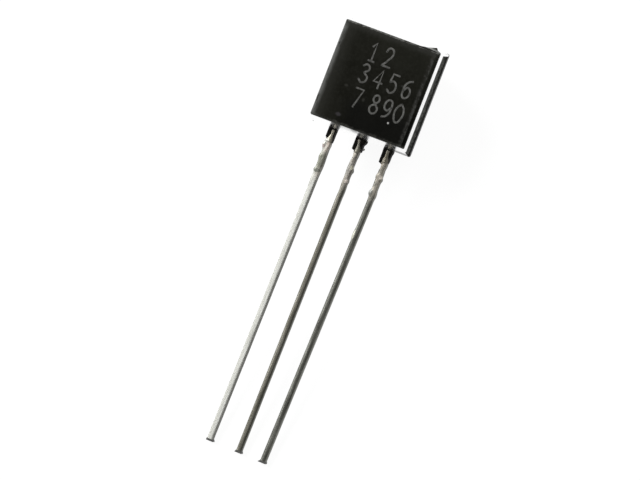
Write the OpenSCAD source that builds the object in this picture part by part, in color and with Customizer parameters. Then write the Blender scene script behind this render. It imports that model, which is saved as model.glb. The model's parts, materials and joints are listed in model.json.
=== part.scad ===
// Small-signal transistor in a moulded three-lead package.
//
// It lies as it comes to rest on a table: flat face up, on the bottom edge of
// its round back and on the tips of its three leads.
//
// Row frame:     X across the body, Y along the leads with the tips at -Y, Z up.
// Package frame: the same axes before it is laid down. Z = 0 is the parting
//                plane, which is the front surface of the lead frame, and
//                Y = 0 is the middle of the moulding's height.

/* [Moulding] */
// Width of the moulding at the parting plane, and diameter of its round back
body_w = 4.50; // [4.3:0.02:5.0]
// Height of the moulding at the parting plane
body_h = 4.70; // [4.3:0.02:5.2]
// Depth from the flat face to the parting plane
front_depth = 1.30; // [1.1:0.05:1.5]
// Width of the flat face, over its rounded edges
face_w = 4.32; // [4.0:0.02:4.5]
// Height of the flat face, over its rounded edges
face_h = 4.28; // [4.0:0.02:4.5]
// Depth at which the side walls leave the straight and flare to the parting line
flare_depth = 0.55; // [0.4:0.05:0.9]
// Draft angle of the back half's top and bottom
back_draft = 5; // [2:0.5:8]
// Radius along the left side of the flat face
left_edge_r = 0.05; // [0.03:0.01:0.3]
// Radius along its right side
right_edge_r = 0.16; // [0.03:0.01:0.3]
// Radius along the top and bottom of the flat face
end_edge_r = 0.05; // [0.03:0.01:0.15]

/* [Gate stub] */
// Where the root of the broken gate starts, from the middle of the moulding
gate_from = 1.22; // [0.6:0.02:1.4]
// Where its highest point is
gate_peak = 1.81; // [1.5:0.01:1.85]
// Where its root ends
gate_to = 1.95; // [1.9:0.01:2.0]
// How far it stands above the moulding's top edge
gate_h = 0.03; // [0.02:0.01:0.2]
// How far its root reaches down into the drafted top wall
gate_root = 0.15; // [0.12:0.01:0.2]
// Its thickness, from the parting plane towards the flat face
gate_t = 0.50; // [0.2:0.05:0.6]

/* [Leads] */
// Spacing of the leads
lead_pitch = 1.27; // [1.25:0.01:1.30]
// Width of a lead below its shoulder
lead_w = 0.28; // [0.25:0.01:0.42]
// Thickness of the lead frame stock
lead_t = 0.36; // [0.3:0.01:0.5]
// Length of the middle lead outside the moulding
lead_len = 14.35; // [10:0.05:16]
// Slant of the cut through the lead tips in degrees, positive with the collector longer
cut_slant = 0.5; // [0:0.5:4]
// Sideways step of each lead off its pitch mark: emitter, base, collector
lead_step = [-0.020, 0.020, 0.070]; // [-0.1:0.005:0.1]
// Sideways lean of each lead in degrees, positive to the right
lead_lean = [-0.60, -0.30, -1.15]; // [-2:0.05:2]
// Distance below the moulding at which the leads start to lean
lean_from = 2.50; // [1:0.1:4]

/* [Lead shoulders and tips] */
// Shoulder width left of the pitch mark at the moulding: emitter, base, collector
shoulder_left = [0.210, 0.215, 0.225]; // [0.2:0.005:0.3]
// The same at the shoulder's lower end
shoulder_left_end = [0.210, 0.215, 0.190]; // [0.19:0.005:0.3]
// Length of the shoulder's left side
shoulder_left_len = [0.42, 0.51, 0.64]; // [0.4:0.01:1.0]
// Shoulder width right of the pitch mark at the moulding: emitter, base, collector
shoulder_right = [0.130, 0.270, 0.250]; // [0.12:0.005:0.3]
// The same at the shoulder's lower end
shoulder_right_end = [0.130, 0.175, 0.210]; // [0.12:0.005:0.3]
// Length of the shoulder's right side
shoulder_right_len = [0.58, 0.52, 0.54]; // [0.4:0.01:1.0]
// Length over which a shoulder's sides run in to their lower width
shoulder_taper = 0.25; // [0.1:0.05:0.35]
// How far the shoulder's lower edge slants down towards the lead
shoulder_slant = 0.10; // [0.05:0.01:0.2]
// Diameter of the burr that the dam-bar cut left on the base lead
burr_d = 0.10; // [0.06:0.01:0.12]
// Distance of that burr below the moulding
burr_y = 0.40; // [0.36:0.01:0.45]
// How far the burr at each tip reaches to the left of the lead's middle
tip_left = [0.14, 0.16, 0.20]; // [0.14:0.01:0.25]
// How far it reaches to the right
tip_right = [0.18, 0.15, 0.15]; // [0.14:0.01:0.25]
// Height of the tip burrs
tip_h = 0.12; // [0.05:0.01:0.2]
// Height of their outer ends
tip_end_h = 0.03; // [0.01:0.01:0.04]

/* [Lead frame inside the moulding] */
// Width of the stems inside the moulding
stem_w = 0.50; // [0.44:0.02:0.6]
// Width of the emitter and base bonding posts
post_w = 0.80; // [0.6:0.02:0.9]
// Height of the bonding posts
post_h = 0.60; // [0.4:0.05:0.8]
// Gap between neighbouring pieces of the lead frame
frame_gap = 0.25; // [0.2:0.01:0.35]
// Width of the die pad
pad_w = 1.70; // [1.4:0.05:1.9]
// Height of the die pad
pad_h = 1.10; // [0.9:0.05:1.3]
// Height of the die pad's lower edge above the middle of the moulding
pad_y = 0.10; // [0:0.05:0.3]
// Diameter of the hole that locks each stem in the moulding
lock_hole_d = 0.22; // [0.16:0.01:0.26]
// Height of the locking holes above the moulding's bottom
lock_hole_y = 0.75; // [0.6:0.05:0.9]

/* [Chip and bonds] */
// Side of the square chip
die_w = 0.46; // [0.3:0.02:0.6]
// Thickness of the chip
die_t = 0.20; // [0.15:0.01:0.3]
// Thickness of the layer that bonds the chip to its pad
attach_t = 0.03; // [0.02:0.005:0.05]
// How far that layer runs out past the chip on each side
attach_rim = 0.03; // [0.01:0.01:0.06]
// Distance of the bonding spots from the chip's centre
bond_offset = 0.11; // [0.08:0.01:0.13]
// Diameter of a bond wire
wire_d = 0.05; // [0.03:0.01:0.06]
// Height of a bond wire's loop above the straight line between its ends
wire_loop = 0.30; // [0.2:0.02:0.4]
// Diameter of the ball bond on the chip
ball_d = 0.12; // [0.1:0.01:0.14]
// Height of the ball bond
ball_h = 0.05; // [0.04:0.01:0.07]
// Diameter of the stitch bond on the post
stitch_d = 0.14; // [0.1:0.01:0.18]
// Height of the stitch bond
stitch_h = 0.04; // [0.03:0.01:0.06]

/* [Hidden] */
$fn = 96;

// Leads in the order of their pins
EMITTER = 0;
BASE = 1;
COLLECTOR = 2;
lead_x = [-lead_pitch, 0, lead_pitch];

// Levels of the moulding
bottom_y = -body_h / 2;
top_y = body_h / 2;
back_r = body_w / 2;
margin = 1;

// Length of a lead outside the moulding
function leg_len(pin) = lead_len + lead_x[pin] * tan(cut_slant);

// Resting position: the bottom edge of the round back and the back edge of
// the longest lead's tip both lie at Z = 0.
tip_y = bottom_y - leg_len(COLLECTOR);
back_edge_y = bottom_y + back_r * tan(back_draft);
rest_tilt = atan2(back_r - lead_t, back_edge_y - tip_y);
function laid_y(y, z) = y * cos(rest_tilt) - z * sin(rest_tilt);
function laid_z(y, z) = y * sin(rest_tilt) + z * cos(rest_tilt);
laid_y_min = laid_y(tip_y, 0);
laid_y_max = max(laid_y(top_y + gate_h, 0), laid_y(-back_edge_y, -back_r));

// Bonding posts and the die pad
emitter_post_x = lead_x[COLLECTOR] + stem_w / 2 - pad_w - frame_gap - post_w / 2;
emitter_post_y = pad_y + pad_h - post_h;
base_post_y = pad_y - frame_gap - post_h;
die_x = lead_x[COLLECTOR] + stem_w / 2 - pad_w + pad_h / 2;
die_y = pad_y + pad_h / 2;
die_top = attach_t + die_t;
WIRE_SIDES = 8;
WIRE_STEPS = 16;

module lay() {
    translate([0, -(laid_y_min + laid_y_max) / 2, -laid_z(tip_y, -lead_t)])
        rotate([rest_tilt, 0, 0])
            children();
}

// ---- Moulding ----

// What a rounded corner at the origin loses, with the corner pointing to +X +Y.
module corner_waste(r) {
    difference() {
        translate([-r, -r]) square(r + margin);
        translate([-r, -r]) circle(r);
    }
}

// Outline seen along the leads: half-round back, flared side walls, flat face.
module plan_outline() {
    intersection() {
        circle(back_r);
        translate([-back_r - margin, -back_r - margin])
            square([2 * (back_r + margin), back_r + margin]);
    }
    difference() {
        polygon([
            [-back_r, 0], [back_r, 0],
            [face_w / 2, front_depth - flare_depth], [face_w / 2, front_depth],
            [-face_w / 2, front_depth], [-face_w / 2, front_depth - flare_depth]
        ]);
        translate([face_w / 2, front_depth]) corner_waste(right_edge_r);
        mirror([1, 0]) translate([face_w / 2, front_depth]) corner_waste(left_edge_r);
    }
}

// Outline seen from the side, open at the back: drafted top and bottom.
module side_outline() {
    wall_slope = (body_h - face_h) / 2 / front_depth;
    back_slope = tan(back_draft);
    beyond = back_r + margin;
    difference() {
        polygon([
            [-face_h / 2, front_depth], [bottom_y, 0], [bottom_y + beyond * back_slope, -beyond],
            [top_y - beyond * back_slope, -beyond], [top_y, 0], [face_h / 2, front_depth]
        ]);
        for (side = [0, 1])
            mirror([side, 0])
                translate([face_h / 2, front_depth])
                    drafted_corner_waste(end_edge_r, wall_slope);
    }
}

// The same as corner_waste, where the wall leans outwards below the corner.
module drafted_corner_waste(r, slope) {
    lean = atan(slope);
    reach = r * tan((90 - lean) / 2);
    difference() {
        polygon([[-reach, 0], [-reach, margin], [margin, margin], [margin, -reach * cos(lean)],
                 [reach * sin(lean), -reach * cos(lean)], [-reach, -r]]);
        translate([-reach, -r]) circle(r);
    }
}

// Wedge that broke off on the front half's side of the parting plane.
module gate_stub() {
    linear_extrude(gate_t)
        polygon([[gate_from, top_y - gate_root], [gate_peak, top_y + gate_h],
                 [gate_to, top_y - gate_root]]);
}

module moulding() {
    intersection() {
        rotate([90, 0, 0])
            linear_extrude(body_h + margin, center = true) plan_outline();
        rotate([90, 0, 90])
            linear_extrude(body_w + margin, center = true) side_outline();
    }
    gate_stub();
}

module epoxy_body() {
    color([0.09, 0.09, 0.08])
        lay()
            difference() {
                moulding();
                for (pin = [EMITTER, BASE, COLLECTOR]) lead_stamping(pin);
                attach_layer();
                chip();
                bond(EMITTER);
                bond(BASE);
            }
}

// ---- Lead frame ----

// Shoulder that the cut dam bar leaves, from inside the moulding down to the lead.
module shoulder_outline(pin) {
    polygon([
        [-shoulder_left[pin], stem_w], [-shoulder_left[pin], 0],
        [-shoulder_left_end[pin], -shoulder_taper],
        [-shoulder_left_end[pin], -shoulder_left_len[pin]],
        [lead_step[pin], -shoulder_left_len[pin] - shoulder_slant],
        [lead_step[pin], -shoulder_right_len[pin] - shoulder_slant],
        [shoulder_right_end[pin], -shoulder_right_len[pin]],
        [shoulder_right_end[pin], -shoulder_taper],
        [shoulder_right[pin], 0], [shoulder_right[pin], stem_w]
    ]);
}

// Lead with the burr at its tip, straight at first and then leaning.
module leg_outline(pin) {
    reach = leg_len(pin);
    half = lead_w / 2;
    tip_x = (reach - lean_from) * tan(lead_lean[pin]);
    burr_x = (reach - tip_h - lean_from) * tan(lead_lean[pin]);
    translate([lead_step[pin], 0])
        polygon([
            [-half, 0], [-half, -lean_from], [burr_x - half, tip_h - reach],
            [tip_x - tip_left[pin], tip_end_h - reach], [tip_x - tip_left[pin], -reach],
            [tip_x + tip_right[pin], -reach], [tip_x + tip_right[pin], tip_end_h - reach],
            [burr_x + half, tip_h - reach], [half, -lean_from], [half, 0]
        ]);
}

// The part that leaves the moulding.
module outer_outline(pin) {
    translate([lead_x[pin], bottom_y]) {
        shoulder_outline(pin);
        leg_outline(pin);
        if (pin == BASE)
            translate([shoulder_right_end[pin] + burr_d / 4, -burr_y]) circle(d = burr_d);
    }
}

// Stem inside the moulding, up to the given height.
module stem_outline(pin, to_y) {
    translate([lead_x[pin] - stem_w / 2, bottom_y + stem_w / 2])
        square([stem_w, to_y - bottom_y - stem_w / 2]);
}

module emitter_outline() {
    outer_outline(EMITTER);
    stem_outline(EMITTER, emitter_post_y + post_h);
    translate([emitter_post_x - post_w / 2, emitter_post_y]) square([post_w, post_h]);
}

module base_outline() {
    outer_outline(BASE);
    stem_outline(BASE, base_post_y + post_h);
    translate([lead_x[BASE] - post_w / 2, base_post_y]) square([post_w, post_h]);
}

module collector_outline() {
    outer_outline(COLLECTOR);
    stem_outline(COLLECTOR, pad_y + pad_h);
    translate([lead_x[COLLECTOR] + stem_w / 2 - pad_w, pad_y]) square([pad_w, pad_h]);
}

module lead_stamping(pin) {
    translate([0, 0, -lead_t])
        linear_extrude(lead_t)
            difference() {
                if (pin == EMITTER) emitter_outline();
                else if (pin == BASE) base_outline();
                else collector_outline();
                translate([lead_x[pin], bottom_y + lock_hole_y]) circle(d = lock_hole_d);
            }
}

module emitter_lead() {
    color([0.72, 0.71, 0.67]) lay() lead_stamping(EMITTER);
}

module base_lead() {
    color([0.68, 0.67, 0.62]) lay() lead_stamping(BASE);
}

module collector_lead() {
    color([0.68, 0.67, 0.62]) lay() lead_stamping(COLLECTOR);
}

// ---- Chip and bond wires ----

module attach_layer() {
    attach_w = die_w + 2 * attach_rim;
    translate([die_x - attach_w / 2, die_y - attach_w / 2, 0])
        cube([attach_w, attach_w, attach_t]);
}

module chip() {
    translate([die_x - die_w / 2, die_y - die_w / 2, attach_t])
        cube([die_w, die_w, die_t]);
}

// Ends of a bond wire: its spot on the chip and its spot on the post.
function bond_start(pin) = [
    die_x - bond_offset,
    die_y + (pin == EMITTER ? bond_offset : -bond_offset),
    die_top
];
function bond_end(pin) = pin == EMITTER
    ? [emitter_post_x, emitter_post_y + post_h / 2, 0]
    : [lead_x[BASE], base_post_y + post_h / 2, 0];

// A point on the wire's centre line, with u from 0 at the chip to 1 at the post.
function wire_point(pin, u) =
    let (a = bond_start(pin) + [0, 0, ball_h / 2], b = bond_end(pin) + [0, 0, wire_d / 2])
    a + (b - a) * u + [0, 0, wire_loop * sin(180 * pow(u, 0.7))];

function unit(v) = v / norm(v);

// One ring of the wire: its plane is square to the centre line.
function wire_ring(pin, u) =
    let (
        step = 0.01,
        ahead = unit(wire_point(pin, min(u + step, 1)) - wire_point(pin, max(u - step, 0))),
        across = unit(cross(ahead, [0, 0, 1])),
        up = cross(across, ahead)
    )
    [for (k = [0:WIRE_SIDES - 1])
        wire_point(pin, u)
            + wire_d / 2 * (across * cos(360 * k / WIRE_SIDES) + up * sin(360 * k / WIRE_SIDES))];

module wire_loop_solid(pin) {
    points = [for (i = [0:WIRE_STEPS]) each wire_ring(pin, i / WIRE_STEPS)];
    walls = [for (i = [0:WIRE_STEPS - 1], k = [0:WIRE_SIDES - 1])
        let (next = (k + 1) % WIRE_SIDES)
        [i * WIRE_SIDES + k, i * WIRE_SIDES + next,
         (i + 1) * WIRE_SIDES + next, (i + 1) * WIRE_SIDES + k]];
    start_cap = [for (k = [WIRE_SIDES - 1:-1:0]) k];
    end_cap = [for (k = [0:WIRE_SIDES - 1]) WIRE_STEPS * WIRE_SIDES + k];
    polyhedron(points, concat([start_cap, end_cap], walls));
}

module bond(pin) {
    wire_loop_solid(pin);
    translate(bond_start(pin)) cylinder(d = ball_d, h = ball_h, $fn = 12);
    translate(bond_end(pin)) cylinder(d = stitch_d, h = stitch_h, $fn = 12);
}

module transistor_die() {
    color([0.33, 0.34, 0.40]) lay() chip();
}

module die_attach() {
    color([0.75, 0.62, 0.35]) lay() attach_layer();
}

module emitter_wire() {
    color([0.85, 0.68, 0.25]) lay() bond(EMITTER);
}

module base_wire() {
    color([0.85, 0.68, 0.25]) lay() bond(BASE);
}

epoxy_body();
emitter_lead();
base_lead();
collector_lead();
transistor_die();
die_attach();
emitter_wire();
base_wire();
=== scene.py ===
# %% [markdown]
# # A small transistor, dressed for a close-up
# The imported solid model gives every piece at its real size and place. This lesson keeps that
# frame and adds what a plain solid leaves out: rounded and polished mould walls, a broken
# gate, solder that has run down the leads, ink, and the soft light of a product picture.

# %% Load the frame
import json
import math
import bmesh
import bpy
from mathutils import Matrix, Vector, noise


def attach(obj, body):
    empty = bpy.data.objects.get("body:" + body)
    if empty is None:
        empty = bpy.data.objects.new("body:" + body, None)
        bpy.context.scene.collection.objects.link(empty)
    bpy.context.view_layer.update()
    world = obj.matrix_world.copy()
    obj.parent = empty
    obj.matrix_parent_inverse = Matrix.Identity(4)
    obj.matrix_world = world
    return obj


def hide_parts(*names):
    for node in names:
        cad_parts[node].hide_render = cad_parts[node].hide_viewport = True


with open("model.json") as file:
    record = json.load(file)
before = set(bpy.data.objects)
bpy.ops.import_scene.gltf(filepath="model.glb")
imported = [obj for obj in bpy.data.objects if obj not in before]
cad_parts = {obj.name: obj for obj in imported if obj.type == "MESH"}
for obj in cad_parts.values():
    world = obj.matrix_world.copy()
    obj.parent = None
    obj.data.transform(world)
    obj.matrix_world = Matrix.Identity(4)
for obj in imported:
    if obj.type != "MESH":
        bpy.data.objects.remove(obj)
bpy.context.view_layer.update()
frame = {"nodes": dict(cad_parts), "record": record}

mounts = {mount["name"]: mount for mount in frame["record"]["mounts"]}
print("nodes:", sorted(frame["nodes"]))

# %% [markdown]
# ## The package frame
# The part lies on its round back, a few degrees off level. Every piece is easier to model in
# the frame of the package itself, in millimetres: X across the body, Y along the leads with
# the tips at the negative end, Z out of the flat face, and Z = 0 on the parting line. One
# matrix then lays a finished mesh down. It is read from the record's flat face, whose centre
# and direction the solid model states, so nothing is fitted by eye.

# %% Package frame
MM = 0.001
FRONT_DEPTH = 1.30
face_centre = Vector(mounts["flat_face"]["pos_m"])
face_normal = Vector(mounts["flat_face"]["axis"]).normalized()
package_turn = Matrix((Vector((1, 0, 0)), face_normal.cross(Vector((1, 0, 0))), face_normal)).transposed()
package_origin = face_centre - face_normal * FRONT_DEPTH * MM
LAY_DOWN = Matrix.Translation(package_origin) @ package_turn.to_4x4() @ Matrix.Scale(MM, 4)
TILT = math.atan2(-face_normal.y, face_normal.z)
print("tilt", round(math.degrees(TILT), 2), "degrees, origin", [round(v / MM, 3) for v in package_origin])

# %% [markdown]
# ## Shader maths as Python
# A finish is a small network of nodes. Writing it as arithmetic keeps it readable, so one
# class wraps a socket: `1 - mask` or `wear * grain` adds the Math nodes by itself. Any other
# node comes from a single helper, which takes the node's type, its settings and its sockets.

# %% A socket that takes part in arithmetic
class Socket:
    """An output socket of a node tree that can be used in Python expressions."""

    def __init__(self, tree, socket):
        self.tree = tree
        self.socket = socket

    def __getitem__(self, output):
        return Socket(self.tree, self.socket.node.outputs[output])

    def __add__(self, other):
        return node(self.tree, "ShaderNodeMath", {"operation": "ADD"}, {0: self, 1: other})

    def __sub__(self, other):
        return node(self.tree, "ShaderNodeMath", {"operation": "SUBTRACT"}, {0: self, 1: other})

    def __rsub__(self, other):
        return node(self.tree, "ShaderNodeMath", {"operation": "SUBTRACT"}, {0: other, 1: self})

    def __mul__(self, other):
        return node(self.tree, "ShaderNodeMath", {"operation": "MULTIPLY"}, {0: self, 1: other})

    __radd__ = __add__
    __rmul__ = __mul__

    def __abs__(self):
        return node(self.tree, "ShaderNodeMath", {"operation": "ABSOLUTE"}, {0: self})

    def at_least(self, other):
        return node(self.tree, "ShaderNodeMath", {"operation": "MAXIMUM"}, {0: self, 1: other})

    def at_most(self, other):
        return node(self.tree, "ShaderNodeMath", {"operation": "MINIMUM"}, {0: self, 1: other})

    def step(self, low, high):
        """0 below low and 1 above high, with a smooth rise between them; falls if low > high."""
        sockets = {"Value": self, "From Min": low, "From Max": high, "To Min": 0, "To Max": 1}
        if low > high:
            sockets.update({"From Min": high, "From Max": low, "To Min": 1, "To Max": 0})
        return node(self.tree, "ShaderNodeMapRange", {"interpolation_type": "SMOOTHSTEP"}, sockets)


def node(tree, kind, settings, sockets):
    """Adds a node: settings first, then each socket's value or link; gives its first output."""
    added = tree.nodes.new(kind)
    for name, value in settings.items():
        setattr(added, name, value)
    for name, value in sockets.items():
        if isinstance(value, Socket):
            tree.links.new(value.socket, added.inputs[name])
        else:
            added.inputs[name].default_value = value
    outputs = [socket for socket in added.outputs if socket.enabled]
    return Socket(tree, outputs[0]) if outputs else added


# %% Colours, noise and bumps
def mix(factor, first, second):
    """A colour between two, by a factor from 0 to 1."""
    tree = next(s.tree for s in (factor, first, second) if isinstance(s, Socket))
    colours = [s if isinstance(s, Socket) else (*s, 1) for s in (first, second)]
    sockets = {0: factor, 6: colours[0], 7: colours[1]}
    return node(tree, "ShaderNodeMix", {"data_type": "RGBA"}, sockets)


def grain(place, scale, detail=2.0, roughness=0.5):
    """Soft noise from 0 to 1 whose spots are about 1 / scale of a millimetre."""
    sockets = {"Vector": place, "Scale": scale, "Detail": detail, "Roughness": roughness}
    return node(place.tree, "ShaderNodeTexNoise", {}, sockets)


def bump(height, depth_mm, strength=1.0):
    """A normal for a height from 0 to 1 that stands for so many millimetres."""
    sockets = {"Height": height, "Distance": depth_mm * MM, "Strength": strength}
    return node(height.tree, "ShaderNodeBump", {}, sockets)


def new_finish(name):
    """An empty material and its tree."""
    material = bpy.data.materials.new(name)
    material.use_nodes = True
    material.node_tree.nodes.clear()
    return material, material.node_tree


def package_place(tree, shift=(0, 0, 0)):
    """Where a point is in the package frame, in millimetres, counted from shift."""
    origin = package_origin + package_turn @ Vector(shift) * MM
    sockets = {
        "Vector": node(tree, "ShaderNodeTexCoord", {}, {})["Object"],
        "Location": package_turn.transposed() @ origin / -MM,
        "Rotation": (-TILT, 0, 0),
        "Scale": (1 / MM, 1 / MM, 1 / MM),
    }
    return node(tree, "ShaderNodeMapping", {"vector_type": "POINT"}, sockets)


def spot(place, centre, half_size):
    """Distance from a spot's centre, as a share of its half size along each axis."""
    sockets = {"Vector": place, "Location": centre, "Scale": half_size}
    local = node(place.tree, "ShaderNodeMapping", {"vector_type": "TEXTURE"}, sockets)
    return node(place.tree, "ShaderNodeVectorMath", {"operation": "LENGTH"}, {0: local})["Value"]


def stretched(place, scale, shift=0.0):
    """The same place with its axes scaled apart, for streaks along an axis."""
    sockets = {"Vector": place, "Scale": scale, "Location": (shift, 0, 0)}
    return node(place.tree, "ShaderNodeMapping", {"vector_type": "POINT"}, sockets)


# %% From a bmesh to a piece of the part
def finish_piece(name, work, material):
    """Lays a package-frame bmesh down in the row frame and makes it a piece of the part."""
    bmesh.ops.transform(work, matrix=LAY_DOWN, verts=work.verts)
    bmesh.ops.recalc_face_normals(work, faces=work.faces)
    mesh = bpy.data.meshes.new(name)
    work.to_mesh(mesh)
    work.free()
    mesh.materials.append(material)
    piece = bpy.data.objects.new(name, mesh)
    bpy.context.scene.collection.objects.link(piece)
    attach(piece, "root")
    print(name, len(mesh.polygons), "faces")
    return piece


# %% [markdown]
# ## Moulding compound
# Black epoxy with a fine spark-eroded grain on the face and polished side and end walls, which
# a tool maker leaves smooth so that the part slides out. At a glancing angle a polished wall
# mirrors the table, while the flared band near the parting line stays dull. Each wall could
# have a material of its own. Masks worked out from a point's place do it with one, and they
# follow the sizes of the moulding.

# %% Sizes of the moulding, in millimetres
BODY_W = 4.50
BODY_H = 4.70
FACE_W = 4.32
FACE_H = 4.28
FLARE_DEPTH = 0.55
FLARE_Z = FRONT_DEPTH - FLARE_DEPTH
BACK_R = BODY_W / 2 - 0.0002
BACK_DRAFT = math.radians(5)
LEFT_EDGE_R = 0.05
RIGHT_EDGE_R = 0.16
END_EDGE_R = 0.048
BOTTOM_Y = -BODY_H / 2
TOP_Y = BODY_H / 2
FACE_X = FACE_W / 2
FACE_Y = FACE_H / 2
ROUND_X = FACE_X - RIGHT_EDGE_R
print("moulding", BODY_W, "x", BODY_H, "mm, face", FACE_W, "x", FACE_H, "mm")


# %% The ground that the wear is drawn on
class Ground:
    """Where a point of the moulding is, and the noises that its tone, wear and painted light are made of.
    """

    def __init__(self, tree):
        self.place = package_place(tree)
        axes = node(tree, "ShaderNodeSeparateXYZ", {}, {"Vector": self.place})
        self.x, self.y, self.z = axes["X"], axes["Y"], axes["Z"]
        self.fine = grain(self.place, 22, 3, 0.6)
        self.cloud = grain(self.place, 1.1, 2, 0.5)
        self.patches = grain(self.place, 5, 3, 0.6)
        self.mottle = grain(self.place, 8, 2, 0.6)
        self.scuffs = grain(stretched(self.place, (5.0, 1.3, 5.0)), 1.0, 3, 0.6)
        self.on_face = self.z.step(FRONT_DEPTH - 0.2, FRONT_DEPTH - 0.05)


def compound_tone(ground):
    """Near black and cloudy, with painted shade low on the face and a painted glow of light towards its
    top.
    """
    x, y = ground.x, ground.y
    tone = mix(ground.cloud.step(0.3, 0.7), (0.0040, 0.0040, 0.0018), (0.0064, 0.0064, 0.0038))
    tone = mix(ground.mottle.step(0.42, 0.68) * ground.on_face * 0.4, tone, (0.0150, 0.0150, 0.0115))
    # Painted shade: the face is darkened towards its lower part.
    low = y.step(-0.5, -1.3) * x.step(-1.3, -0.4)
    tone = mix(low * 0.8, tone, (0.0010, 0.0011, 0.0005))
    # Painted light: a glow that lightens the face towards its top.
    painted_glow = (x * 0.12 + y * 0.45 + ground.cloud * 0.3).step(0.1, 1.4)
    return mix(painted_glow * ground.on_face * 0.5, tone, (0.0165, 0.0168, 0.0120))


# %% Painted edge highlights, wear and chips
def edge_highlights_and_wear(tone, ground):
    """The same tone with painted highlights along the left and right edges, worn grey in streaks on the
    left, lighter bands along the top and bottom edges, and chips along the top one.
    """
    x, y, patches = ground.x, ground.y, ground.patches
    # Painted highlight: the face lightens towards its left edge, and the left edge itself is partly worn
    # grey and partly a painted highlight.
    painted_left_glow = (x * -1).step(FACE_X - 0.86, FACE_X - 0.06)
    left_wear_and_highlight = (x * -1 + ground.scuffs * 0.12).step(FACE_X - 0.20, FACE_X + 0.04)
    left_wear_and_highlight = left_wear_and_highlight * ground.scuffs.step(0.25, 0.50)
    # Painted highlight: a thin light line where the right rounding starts.
    painted_right_highlight = x.step(ROUND_X - 0.20, ROUND_X - 0.05) * x.step(ROUND_X + 0.03, ROUND_X - 0.01)
    painted_right_highlight = painted_right_highlight * (ground.mottle.step(0.42, 0.60) * 0.65 + 0.25)
    # Lighter bands along the top and bottom edges of the face.
    top_band = (y + patches * 0.2).step(FACE_Y - 0.29, FACE_Y + 0.11)
    bottom_band = (y * -1 + patches * 0.3).step(FACE_Y + 0.02, FACE_Y + 0.22)
    for rub, strength, colour in (
        (painted_left_glow, 0.5, (0.034, 0.034, 0.029)),
        (left_wear_and_highlight, 0.9, (0.150, 0.152, 0.144)),
        (painted_right_highlight, 0.9, (0.050, 0.050, 0.046)),
        (top_band, 0.8, (0.032, 0.032, 0.028)),
        (bottom_band, 0.8, (0.070, 0.070, 0.062)),
    ):
        tone = mix(rub * ground.on_face * strength, tone, colour)
    chips = (y + patches * 0.12).step(FACE_Y - 0.02, FACE_Y + 0.02) * patches.step(0.40, 0.58)
    chips = chips * ground.z.step(FRONT_DEPTH - 0.15, FRONT_DEPTH - 0.06)
    return mix(chips, tone, (0.13, 0.13, 0.122))


# %% Stains on the face
# Each has its centre and its half size, both across and along the leads.
STAIN = ((-1.012, -1.754), (0.15, 0.11))
PALE_DOT = ((1.135, -1.370), (0.05, 0.05))
SMUDGES = (
    ((-1.126, -0.490), (0.10, 0.06)),
    ((-0.214, -0.823), (0.07, 0.09)),
    ((1.170, 0.295), (0.11, 0.05)),
)


def face_spot(ground, centre, half_size):
    """Distance from a spot on the face, as a share of its half size."""
    return spot(ground.place, (*centre, FRONT_DEPTH), (*half_size, 0.1))


def stained(tone, ground):
    """The same tone with small flecks, one larger stain, a few smudges and a pale dot."""
    sockets = {"Vector": ground.place, "Scale": 7.0}
    specks = node(ground.place.tree, "ShaderNodeTexVoronoi", {"feature": "F1"}, sockets)
    flecks = specks["Distance"].step(0.11, 0.03) * specks["Color"].step(0.72, 0.80)
    tone = mix(flecks * 0.5, tone, (0.05, 0.05, 0.048))
    stain = (face_spot(ground, *STAIN) + ground.patches * 0.5).step(1.3, 0.6)
    tone = mix(stain * 0.85, tone, (0.040, 0.037, 0.040))
    for centre, half_size in SMUDGES:
        smudge = (face_spot(ground, centre, half_size) + ground.patches * 0.5).step(1.5, 0.7)
        tone = mix(smudge * 0.8, tone, (0.027, 0.027, 0.023))
    return mix(face_spot(ground, *PALE_DOT).step(1.1, 0.6), tone, (0.40, 0.40, 0.385))


print("stains:", len(SMUDGES) + 2)


# %% Walls and the broken gate
# Ranges in which a mask fades in, and the middle of the gap between the left and middle leads.
OUTER_X = (BACK_R - 0.08, BACK_R - 0.04)
NEAR_BOTTOM_Y = (BOTTOM_Y + 0.35, BOTTOM_Y + 0.15)
LEAD_GAP_X = -0.55


def end_walls(ground):
    """The drafted ends down to the parting line, and the top end of the round back."""
    x, y, z = ground.x, ground.y, ground.z
    front_slope = (BODY_H - FACE_H) / 2 / FRONT_DEPTH
    half = BODY_H / 2 - z.at_least(0) * front_slope + z.at_most(0) * math.tan(BACK_DRAFT)
    flare_x = BACK_R - z.at_least(0) * ((BACK_R - FACE_X) / FLARE_Z)
    flare_foot = (x - flare_x).step(-0.05, -0.04) * y.step(0, -1) * z.step(FLARE_Z - 0.02, FLARE_Z - 0.1)
    corner = abs(x).step(*OUTER_X) * z.step(0.12, 0.06)
    ends = (abs(y) - half).step(-0.05, -0.03) * z.step(-0.3, -0.2) * (1 - flare_foot) * (1 - corner)
    round_side = abs(x).step(*OUTER_X) * (y - half).step(-0.01, -0.03) * z.step(0.02, -0.02)
    back_end = (y - half).step(-0.15, -0.11) * z.step(-0.7, -0.6) * (1 - round_side)
    return ends, back_end


def gate_break(ground):
    """The corner of the top end that tore off with the gate, and the pale band across it."""
    x, z, patches = ground.x, ground.z, ground.patches
    broken = (z + x * 2.6 + patches * 0.2).step(4.38, 4.52) * (x - z * 0.44).step(1.65, 1.59)
    broken = broken * ground.y.step(TOP_Y - 0.45, TOP_Y - 0.35)
    across_tear = z - x * 0.78 + patches * 0.2
    torn = across_tear.step(-0.80, -0.64) * across_tear.step(-0.08, -0.24)
    return broken, torn


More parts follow.
